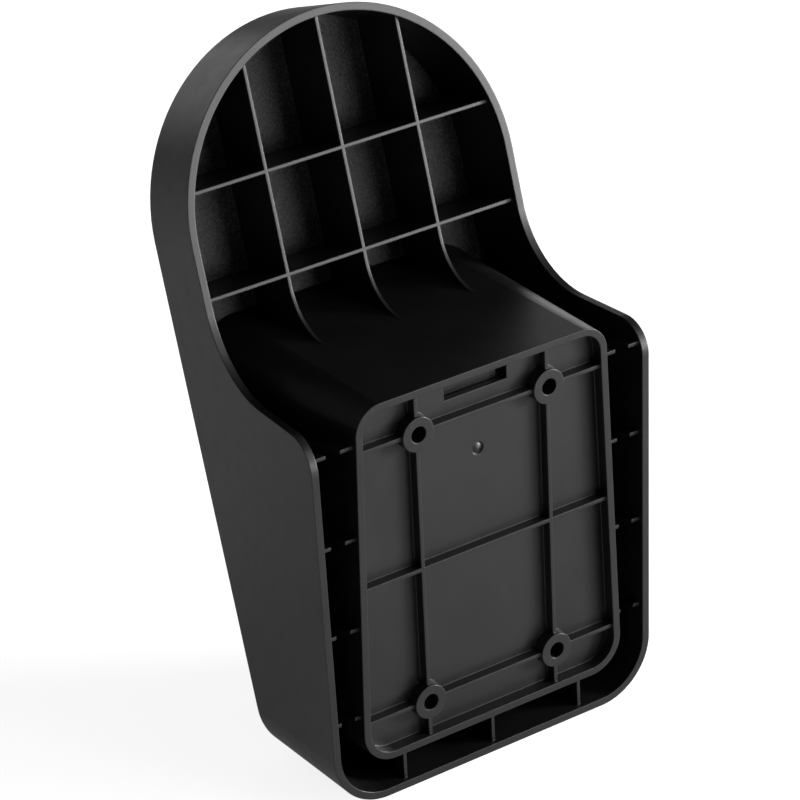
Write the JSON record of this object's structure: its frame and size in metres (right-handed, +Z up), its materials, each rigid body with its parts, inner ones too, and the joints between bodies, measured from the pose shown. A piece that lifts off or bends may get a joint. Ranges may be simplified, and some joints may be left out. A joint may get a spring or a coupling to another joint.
{
  "type": "ev connector holder",
  "caption": "Wall holder for a car charging connector: leaning arched front with a socket insert, ribbed open back and a saddle behind the arch for the looped cable.",
  "frame": {"origin": "centre of the four wall screw holes, on the wall plane", "axes": "+Z up the wall, +Y toward the wall, so the front faces -Y; the part is symmetric about the plane x = 0"},
  "size_m": [0.1306, 0.1086, 0.2361],
  "materials": {
    "plastic": "fine satin grain"
  },
  "bodies": {
    "root": {"holder": "plastic", "socket_insert": "plastic"}
  },
  "joints": []
}
